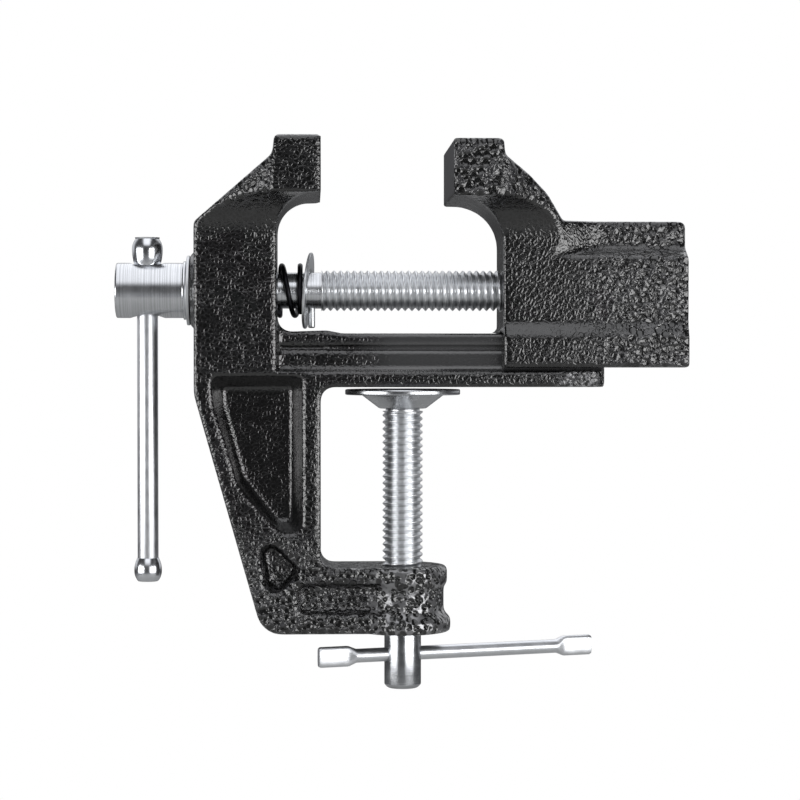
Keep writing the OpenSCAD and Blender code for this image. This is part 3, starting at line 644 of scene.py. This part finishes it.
# %% Spin an outline
def spun(name, outline, centre, way, parts=96):
    """outline is a list of (radius, distance along the axis) in mm, from one end to the other."""
    along = Vector(way).normalized()
    across = along.orthogonal().normalized()
    other = along.cross(across)
    angles = [2 * math.pi * i / parts for i in range(parts)]
    shape = bmesh.new()
    rings = []
    for radius, reach in outline:
        middle = Vector(centre) + along * reach * MM
        if radius < 1e-6:
            rings.append([shape.verts.new(middle)])
            continue
        rings.append([shape.verts.new(middle + (across * math.cos(a) + other * math.sin(a)) * radius * MM)
                      for a in angles])
    if len(rings[0]) > 1 and outline[0] == outline[-1]:
        for vert in rings[-1]:
            shape.verts.remove(vert)
        rings[-1] = rings[0]
    for near, far in zip(rings, rings[1:]):
        for i in range(parts):
            j = (i + 1) % parts
            corners = [near[i % len(near)], near[j % len(near)], far[j % len(far)], far[i % len(far)]]
            shape.faces.new(list(dict.fromkeys(corners)))
    return plain_mesh(shape, name)


def plain_mesh(shape, name):
    """The finished shape as a mesh with all faces pointing outwards."""
    bmesh.ops.recalc_face_normals(shape, faces=shape.faces)
    mesh = bpy.data.meshes.new(name)
    shape.to_mesh(mesh)
    shape.free()
    return mesh


def softened(outline, bevel, steps=3):
    """The outline with each inner corner point rounded by about bevel mm."""
    points = [Vector(p) for p in outline]
    out = [outline[0]]
    for before, corner, after in zip(points, points[1:], points[2:]):
        reach = min(bevel, (before - corner).length * 0.45, (after - corner).length * 0.45)
        start = corner + (before - corner).normalized() * reach
        end = corner + (after - corner).normalized() * reach
        for i in range(steps + 1):
            t = i / steps
            out.append(tuple((1 - t) ** 2 * start + 2 * t * (1 - t) * corner + t * t * end))
    return out + [outline[-1]]


print("one softened corner has", len(softened([(0, 0), (5, 0), (5, 5)], 1.0)) - 2, "points")

# %% [markdown]
# ## Trees that grow a piece
# A geometry node tree suits what follows a rule, such as a thread or a spring: its sizes stay inputs with
# a name, and one tree makes both threads. A modifier finds an input by its identifier, not by its name.


# %% Helpers for geometry trees
def new_tree(name, sizes):
    """A tree with a named input for each size and for the finish. Returns it with its inputs."""
    tree = bpy.data.node_groups.new(name, "GeometryNodeTree")
    for label, value in sizes.items():
        kind = "NodeSocketInt" if isinstance(value, int) else "NodeSocketFloat"
        tree.interface.new_socket(label, in_out="INPUT", socket_type=kind).default_value = value
    tree.interface.new_socket("Finish", in_out="INPUT", socket_type="NodeSocketMaterial")
    tree.interface.new_socket("Geometry", in_out="OUTPUT", socket_type="NodeSocketGeometry")
    return tree, add_node(tree, "NodeGroupInput", give=None).outputs


def end_tree(tree, shape, finish):
    """Instances become real, because the export drops them, and the shape gets its finish."""
    real = add_node(tree, "GeometryNodeRealizeInstances", {"Geometry": shape})
    dressed = add_node(tree, "GeometryNodeSetMaterial", {"Geometry": real, "Material": finish})
    add_node(tree, "NodeGroupOutput", {0: dressed}, give=None)
    print(f"{tree.name}: {len(tree.nodes)} nodes")
    return tree


trial = new_tree("trial", {"Length": 60.0 * MM})[0]
print("the identifier of Length is", trial.interface.items_tree["Length"].identifier)
bpy.data.node_groups.remove(trial)

# %% [markdown]
# ## The threads
# Both threads are rolled: 1.5875 mm from turn to turn, with rounded crests and roots. A Screw modifier
# could wind a profile, but its ends would be open. The tree takes a fine closed cylinder and draws each
# point in by how far it lies from the nearest crest of the helix. Near both ends the depth fades, as the
# rolling dies leave it.


# %% Thread tree
def thread_tree():
    """A fine cylinder with the groove of a thread drawn in along a helix."""
    tree, given = new_tree("rolled_thread", {
        "Length": 60.0 * MM, "Crest radius": 4.7 * MM, "Root radius": 4.05 * MM, "Pitch": 1.5875 * MM,
        "Run out": 0.5 * MM, "Sides": 64, "Steps a turn": 16})
    turns = add_node(tree, "ShaderNodeMath", {0: given["Length"], 1: given["Pitch"]},
                     operation="DIVIDE")
    steps = add_node(tree, "ShaderNodeMath", {0: turns, 1: given["Steps a turn"]},
                     operation="MULTIPLY")
    steps = add_node(tree, "ShaderNodeMath", {0: steps}, operation="CEIL")
    blank = add_node(tree, "GeometryNodeMeshCylinder",
                     {"Vertices": given["Sides"], "Side Segments": steps,
                      "Radius": given["Crest radius"], "Depth": given["Length"]})
    here = add_node(tree, "GeometryNodeInputPosition")
    spot = add_node(tree, "ShaderNodeSeparateXYZ", {"Vector": here}, give=None).outputs

    # fold is 0 at the root of the helix and 0.5, half a turn on, at its crest
    bearing = add_node(tree, "ShaderNodeMath", {0: spot["Y"], 1: spot["X"]}, operation="ARCTAN2")
    bearing = add_node(tree, "ShaderNodeMath", {0: bearing, 1: 2 * math.pi}, operation="DIVIDE")
    along = add_node(tree, "ShaderNodeMath", {0: spot["Z"], 1: given["Pitch"]}, operation="DIVIDE")
    phase = add_node(tree, "ShaderNodeMath", {0: along, 1: bearing}, operation="SUBTRACT")
    fold = add_node(tree, "ShaderNodeMath", {0: phase, 1: 0.5}, operation="PINGPONG")
    crest = add_node(tree, "ShaderNodeMapRange", {"Value": fold, "From Min": 0.07, "From Max": 0.43})

    # the depth fades towards both ends
    half = add_node(tree, "ShaderNodeMath", {0: given["Length"], 1: 0.5}, operation="MULTIPLY")
    from_middle = add_node(tree, "ShaderNodeMath", {0: spot["Z"]}, operation="ABSOLUTE")
    from_end = add_node(tree, "ShaderNodeMath", {0: half, 1: from_middle}, operation="SUBTRACT")
    fade = add_node(tree, "ShaderNodeMapRange", {"Value": from_end, "From Max": given["Run out"]},
                    interpolation_type="SMOOTHSTEP")
    groove = add_node(tree, "ShaderNodeMath", {0: 1.0, 1: crest}, operation="SUBTRACT")
    groove = add_node(tree, "ShaderNodeMath", {0: groove, 1: fade}, operation="MULTIPLY")

    # each point goes in towards the axis by the depth of the groove
    full = add_node(tree, "ShaderNodeMath", {0: given["Crest radius"], 1: given["Root radius"]},
                    operation="SUBTRACT")
    cut = add_node(tree, "ShaderNodeMath", {0: groove, 1: full}, operation="MULTIPLY")
    share = add_node(tree, "ShaderNodeMath", {0: cut, 1: given["Crest radius"]}, operation="DIVIDE")
    share = add_node(tree, "ShaderNodeMath", {0: 1.0, 1: share}, operation="SUBTRACT")
    drawn_in = [add_node(tree, "ShaderNodeMath", {0: spot[axis], 1: share}, operation="MULTIPLY")
                for axis in ("X", "Y")]
    moved = add_node(tree, "ShaderNodeCombineXYZ", {0: drawn_in[0], 1: drawn_in[1], 2: spot["Z"]})
    rolled = add_node(tree, "GeometryNodeSetPosition", {"Geometry": blank, "Position": moved})
    marked = add_node(tree, "GeometryNodeStoreNamedAttribute",
                      {"Geometry": rolled, "Name": "thread_groove", "Value": groove},
                      data_type="FLOAT", domain="POINT")
    return end_tree(tree, marked, given["Finish"])


rolled_thread = thread_tree()

# %% [markdown]
# ## The lead screw
# From the handle inwards: a plain head with a cross hole for the bar, a thin collar, a smooth journal in
# the upright, a thinner shank inside the spring, and the thread. The cross hole is made as the real one
# is: a drill with the countersink of both mouths goes through the spun head, as a Boolean modifier.


# %% Lead screw head
def drilled(blank, drill, name):
    """The blank with the drill's shape taken out of it."""
    holder = holder_of(blank)
    cutter = holder_of(drill)
    hole = holder.modifiers.new("cross_hole", "BOOLEAN")
    hole.operation = "DIFFERENCE"
    hole.object = cutter
    hole.solver = "EXACT"
    mesh = evaluated_mesh(holder, name)
    bpy.data.objects.remove(cutter)
    print(f"{name}: {len(blank.polygons)} faces before the hole, {len(mesh.polygons)} after")
    return mesh


HEAD_X, COLLAR_X, JOURNAL_X, WALL_X, SHANK_END_X = -66.6, -51.0, -50.2, -29.3, -18.6
HEAD_R, COLLAR_R, JOURNAL_R, SHANK_R = 6.4, 6.8, 4.7, 4.2
BAR_X = HEAD_X + 0.46 * (COLLAR_X - HEAD_X)
HOLE_R, MOUTH_R = 2.52, 4.7
head_outline = softened(
    [(0, HEAD_X), (HEAD_R, HEAD_X), (HEAD_R, COLLAR_X), (COLLAR_R, COLLAR_X), (COLLAR_R, JOURNAL_X),
     (JOURNAL_R, JOURNAL_X), (JOURNAL_R, WALL_X), (SHANK_R, WALL_X), (SHANK_R, SHANK_END_X),
     (0, SHANK_END_X)], 0.45)
head_blank = spun("head_blank", head_outline, (0, 0, SCREW_Z), (1, 0, 0), 128)
countersink = [(0, -9), (MOUTH_R, -9), (MOUTH_R, -7), (HOLE_R, -5), (HOLE_R, 5), (MOUTH_R, 7),
               (MOUTH_R, 9), (0, 9)]
drill = spun("drill", countersink, (BAR_X * MM, 0, SCREW_Z), (0, 0, 1), 64)
add_piece("lead_screw_head", drilled(head_blank, drill, "lead_screw_head"), "screw", "plated_screw",
          "lead_screw", finish=zinc_turned, smooth=35)


# %% Lead screw thread
def grown_mesh(name, tree, values):
    """The plain mesh that a tree grows. values goes by the names of the inputs."""
    holder = holder_of(bpy.data.meshes.new(name))
    grow = holder.modifiers.new("grow", "NODES")
    grow.node_group = tree
    for socket in tree.interface.items_tree:
        if socket.name in values:
            grow[socket.identifier] = values[socket.name]
    return evaluated_mesh(holder, name)


LEAD_FROM, LEAD_TO = -19.0, 44.0
lead_thread = grown_mesh("lead_screw_thread", rolled_thread,
                         {"Length": (LEAD_TO - LEAD_FROM) * MM, "Finish": zinc_thread})
lead_thread.transform(Matrix.Translation(((LEAD_FROM + LEAD_TO) / 2 * MM, 0, SCREW_Z))
                      @ Matrix.Rotation(math.radians(90), 4, "Y"))
add_piece("lead_screw_thread", lead_thread, "screw", "plated_screw", smooth=30)

# %% [markdown]
# ## Washers and the retaining pin
# The thrust washer takes the screw's pull against the upright. The spring washer leans a little, as the
# spring pushes it, and the pin behind it holds both on the screw. A washer's outline is a closed loop,
# so spinning it leaves the hole open.


# %% Washers
def washer_outline(outer, inner, thick):
    """A rectangle with broken corners, closed, in mm."""
    b = min(0.12, thick * 0.3)
    return [(inner, b), (inner + b, 0), (outer - b, 0), (outer, b), (outer, thick - b),
            (outer - b, thick), (inner + b, thick), (inner, thick - b), (inner, b)]


thrust_outline = washer_outline(outer=8.1, inner=4.85, thick=0.75)
thrust = spun("thrust_washer_ring", thrust_outline, (JOURNAL_X * MM, 0, SCREW_Z), (1, 0, 0))
add_piece("thrust_washer_ring", thrust, "screw", "plated_washer", "thrust_washer", finish=zinc_washer)

LEAN, YAW, WASHER_X, WASHER_THICK = math.radians(5), math.radians(6), -22.1, 0.6
washer_way = Vector((math.cos(LEAN) * math.cos(YAW), -math.cos(LEAN) * math.sin(YAW), -math.sin(LEAN)))
washer_start = Vector((WASHER_X * MM, 0, SCREW_Z)) - washer_way * WASHER_THICK / 2 * MM
leaning_outline = washer_outline(outer=8.9, inner=5.2, thick=WASHER_THICK)
leaning = spun("spring_washer_ring", leaning_outline, washer_start, washer_way)
add_piece("spring_washer_ring", leaning, "screw", "plated_washer", "spring_washer", finish=zinc_washer)

# %% Retaining pin
PIN_R, PIN_LOW, PIN_TOP = 0.8, -8.7, 4.2
pin_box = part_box("retaining_pin")
pin_x = (pin_box[0].x + pin_box[1].x) / 2
pin_outline = softened([(0, PIN_LOW), (PIN_R, PIN_LOW), (PIN_R, PIN_TOP), (0, PIN_TOP)], 0.5)
pin = spun("retaining_pin_round", pin_outline, (pin_x, 0, SCREW_Z), (0, 0, 1), 32)
add_piece("retaining_pin_round", pin, "screw", "plated_washer", "retaining_pin", finish=zinc_washer)

# %% [markdown]
# ## The take-up spring
# Two turns of black wire. The first lies flat against the upright, then the wire climbs steeply, and the
# last turn lies flat again at the washer. A ready-made spiral climbs evenly, so it doesn't fit. The tree
# draws the wire's middle line by formula from a straight line of points and sweeps a circle along it.


# %% Spring tree
def spring_tree():
    """A round wire along a coil that is flat at both ends."""
    tree, given = new_tree("take_up_spring_wire", {
        "Coil radius": 5.8 * MM, "Wire radius": 0.6 * MM, "Start": -0.58, "Turns": 2.0,
        "From": -28.65 * MM, "To": -23.93 * MM, "Points": 161})
    line = add_node(tree, "GeometryNodeMeshLine", {"Count": given["Points"]})
    place = add_node(tree, "GeometryNodeInputIndex")
    last = add_node(tree, "ShaderNodeMath", {0: given["Points"], 1: 1.0}, operation="SUBTRACT")
    share = add_node(tree, "ShaderNodeMath", {0: place, 1: last}, operation="DIVIDE")
    turn = add_node(tree, "ShaderNodeMath", {0: share, 1: given["Turns"], 2: given["Start"]},
                    operation="MULTIPLY_ADD")
    climb = add_node(tree, "ShaderNodeMapRange",
                     {"Value": turn, "From Min": -0.2, "From Max": 0.85, "To Min": given["From"],
                      "To Max": given["To"]}, interpolation_type="SMOOTHSTEP")
    angle = add_node(tree, "ShaderNodeMath", {0: turn, 1: 2 * math.pi}, operation="MULTIPLY")
    sine = add_node(tree, "ShaderNodeMath", {0: angle}, operation="SINE")
    cosine = add_node(tree, "ShaderNodeMath", {0: angle}, operation="COSINE")
    inward = add_node(tree, "ShaderNodeMath", {0: given["Coil radius"], 1: -1.0}, operation="MULTIPLY")
    across = add_node(tree, "ShaderNodeMath", {0: sine, 1: inward}, operation="MULTIPLY")
    up = add_node(tree, "ShaderNodeMath", {0: cosine, 1: given["Coil radius"], 2: SCREW_Z},
                  operation="MULTIPLY_ADD")
    middle = add_node(tree, "ShaderNodeCombineXYZ", {0: climb, 1: across, 2: up})
    bent = add_node(tree, "GeometryNodeSetPosition", {"Geometry": line, "Position": middle})
    path = add_node(tree, "GeometryNodeMeshToCurve", {"Mesh": bent})
    section = add_node(tree, "GeometryNodeCurvePrimitiveCircle", {"Resolution": 16,
                                                                  "Radius": given["Wire radius"]})
    wire = add_node(tree, "GeometryNodeCurveToMesh", {"Curve": path, "Profile Curve": section,
                                                      "Fill Caps": True})
    return end_tree(tree, wire, given["Finish"])


spring = grown_mesh("spring_coil", spring_tree(), {"Finish": black_wire})
add_piece("spring_coil", spring, "screw", "spring_steel", "take_up_spring")

# %% [markdown]
# ## The handle bar and its knobs
# The bar slides in the head, and a barrel-shaped knob is pressed on a thin spigot at each end. A knob
# could be a cylinder with a soft bulge from Subdivision Surface. A formula for its outline sets the
# radius at the ends and at the belly exactly.

# %% Handle bar
BAR_TOP, BAR_LOW, BAR_R = 27.7, -39.9, 2.42
SPIGOT, SPIGOT_R = 2.9, 1.45
bar_outline = softened(
    [(0, BAR_LOW - SPIGOT), (SPIGOT_R, BAR_LOW - SPIGOT), (SPIGOT_R, BAR_LOW - 0.2), (BAR_R, BAR_LOW),
     (BAR_R, BAR_TOP), (SPIGOT_R, BAR_TOP), (SPIGOT_R, BAR_TOP + SPIGOT), (0, BAR_TOP + SPIGOT)], 0.05)
bar = spun("handle_bar_round", bar_outline, (BAR_X * MM, 0, 0), (0, 0, 1), 64)
add_piece("handle_bar_round", bar, "handle", "bright_bar", "handle_bar", finish=satin_bar, smooth=50)


# %% Knobs
def barrel(end_r, belly_r, low, high, belly_at, steps=16):
    """A barrel outline: end radius at both ends, fullest at belly_at."""
    points = []
    for i in range(steps + 1):
        z = low + (high - low) * i / steps
        reach = (belly_at - z) / (belly_at - low) if z < belly_at else (z - belly_at) / (high - belly_at)
        points.append((belly_r - (belly_r - end_r) * reach ** 2.2, z))
    return points


upper = barrel(end_r=2.75, belly_r=3.55, low=BAR_TOP, high=34.35, belly_at=32.0)
lower = barrel(end_r=2.5, belly_r=3.2, low=-45.1, high=BAR_LOW, belly_at=-42.9)
upper = [(0, BAR_TOP)] + upper + [(2.9, 34.7), (0, 34.7)]
lower = [(0, -45.3), (2.3, -45.3)] + lower + [(0, BAR_LOW)]
for node, outline in (("upper_knob", upper), ("lower_knob", lower)):
    knob = spun(node + "_barrel", outline, (BAR_X * MM, 0, 0), (0, 0, 1), 64)
    add_piece(node + "_barrel", knob, "handle", "bright_bar", node, finish=chrome, smooth=50)

# %% [markdown]
# ## The bench clamp
# The pad is pressed from plate: a flat rim and a cone, riveted on the screw's end so that it can turn.
# Bent plate can be made with Solidify, but a closed outline gives both of its sides and the rim at once.
# Below the boss the screw is plain, with a cross hole for the thin bar.

# %% Clamp pad
RIM_R, RIM_LOW, RIM_TOP = 13.45, -1.9, -0.6
pad_outline = softened([(3.1, -5.1), (5.45, -5.1), (9.4, -2.1), (9.6, RIM_LOW), (RIM_R, RIM_LOW),
                        (RIM_R, RIM_TOP), (8.2, RIM_TOP), (4.3, -3.7), (3.1, -3.7)], 0.35)
pad_outline.append(pad_outline[0])
pad = spun("clamp_pad_pressed", pad_outline, (0, 0, 0), (0, 0, 1), 128)
add_piece("clamp_pad_pressed", pad, "pad", "plated_pad", "clamp_pad", finish=zinc_pressed)

# %% Clamp screw's plain end
END_LOW, END_TOP, END_R, CHAMFER = -70.5, -55.4, 4.3, 0.8
THIN_BAR_Z, THIN_HOLE_R = -62.6, 1.72
bar_turn = math.radians(17.6)
bar_way = Vector((math.cos(bar_turn), math.sin(bar_turn), 0))
end_outline = softened([(0, END_LOW), (END_R - CHAMFER, END_LOW), (END_R, END_LOW + CHAMFER),
                        (END_R, END_TOP), (0, END_TOP)], 0.3)
end_blank = spun("end_blank", end_outline, (0, 0, 0), (0, 0, 1), 96)
thin_drill = spun("thin_drill", [(0, -9), (THIN_HOLE_R, -9), (THIN_HOLE_R, 9), (0, 9)],
                  (0, 0, THIN_BAR_Z * MM), bar_way, 48)
add_piece("clamp_screw_end", drilled(end_blank, thin_drill, "clamp_screw_end"), "clamp",
          "plated_screw", "clamp_screw", finish=zinc_end, smooth=35)

# %% Clamp screw's thread and riveted end
CLAMP_FROM, CLAMP_TO = -55.3, -5.7
clamp_thread = grown_mesh("clamp_screw_thread", rolled_thread,
                          {"Length": (CLAMP_TO - CLAMP_FROM) * MM, "Finish": zinc_thread})
clamp_thread.transform(Matrix.Translation((0, 0, (CLAMP_FROM + CLAMP_TO) / 2 * MM)))
add_piece("clamp_screw_thread", clamp_thread, "clamp", "plated_screw", smooth=30)

rivet_outline = softened([(0, -7.0), (4.0, -7.0), (4.0, -5.15), (3.0, -5.15), (3.0, -3.65), (3.8, -3.65),
                          (3.3, -2.5), (0, -2.35)], 0.2)
rivet = spun("clamp_screw_rivet", rivet_outline, (0, 0, 0), (0, 0, 1), 64)
add_piece("clamp_screw_rivet", rivet, "clamp", "plated_screw", finish=zinc_thread)

# %% [markdown]
# ## The thin clamp bar
# Both ends of the bar are hammered flat, so that they can't slip through the hole. The hammer spreads the
# metal sideways and leaves it thin, with a short shoulder. One outline can't be spun into that, so the
# bar is lofted: round sections along its length that turn into flat ones at the ends.


# %% Section of the clamp bar
THIN_LENGTH, THIN_SHORT_END, THIN_R = 69.0, 20.7, 1.62
FLAT_LENGTH, FLAT_HALF_WIDTH, FLAT_HALF_THICK = 9.6, 2.4, 0.9
STATIONS, THIN_SIDES = 160, 32


def section_at(x):
    """The bar's half width and half thickness, x mm along it, and how round its section is, 1 or less."""
    from_end = min(x, THIN_LENGTH - x)
    narrowed = min(1.0, max(0.0, (from_end / FLAT_LENGTH - 0.75) / 0.2))
    rounded = min(1.0, max(0.0, (from_end / FLAT_LENGTH - 0.68) / 0.32))
    rounded = rounded * rounded * (3 - 2 * rounded)
    trim = 1.0 if from_end > 0.3 else 0.9
    wide = (FLAT_HALF_WIDTH + (THIN_R - FLAT_HALF_WIDTH) * narrowed) * trim
    thick = (FLAT_HALF_THICK + (THIN_R - FLAT_HALF_THICK) * rounded) * trim
    return wide, thick, 2 / (3.4 - 1.4 * rounded)


for x in (2.0, 8.0, 30.0):
    print(f"{x} mm from the end:", [round(v, 2) for v in section_at(x)])


# %% Clamp bar
def hammered_bar(name, centre, way):
    """Sections along the bar, joined side by side and closed at both ends."""
    along = Vector(way).normalized()
    upright = Vector((0, 0, 1))
    across = upright.cross(along).normalized()
    angles = [2 * math.pi * i / THIN_SIDES for i in range(THIN_SIDES)]
    shape = bmesh.new()
    rings = []
    for station in range(STATIONS + 1):
        x = THIN_LENGTH * station / STATIONS
        wide, thick, power = section_at(x)
        middle = Vector(centre) + along * (x - THIN_SHORT_END) * MM
        ring = []
        for a in angles:
            u = math.copysign(abs(math.cos(a)) ** power, math.cos(a)) * thick
            v = math.copysign(abs(math.sin(a)) ** power, math.sin(a)) * wide
            ring.append(shape.verts.new(middle + (across * u + upright * v) * MM))
        rings.append(ring)
    for near, far in zip(rings, rings[1:]):
        for i in range(THIN_SIDES):
            j = (i + 1) % THIN_SIDES
            shape.faces.new((near[i], near[j], far[j], far[i]))
    shape.faces.new(rings[0])
    shape.faces.new(rings[-1])
    return plain_mesh(shape, name)


thin_bar = hammered_bar("clamp_bar_hammered", (0, 0, THIN_BAR_Z * MM), bar_way)
add_piece("clamp_bar_hammered", thin_bar, "bar", "bright_bar", "clamp_bar", finish=satin_bar, smooth=50)

# %% [markdown]
# ## The two boxes
# The dressed vise must stay inside the measured one, so both boxes are printed.

# %% Print both boxes
shown_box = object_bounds()
for label, box in (("measured", cad_box), ("dressed", shown_box)):
    print(label, "box in mm:", [[round(v * 1000, 2) for v in corner] for corner in box])
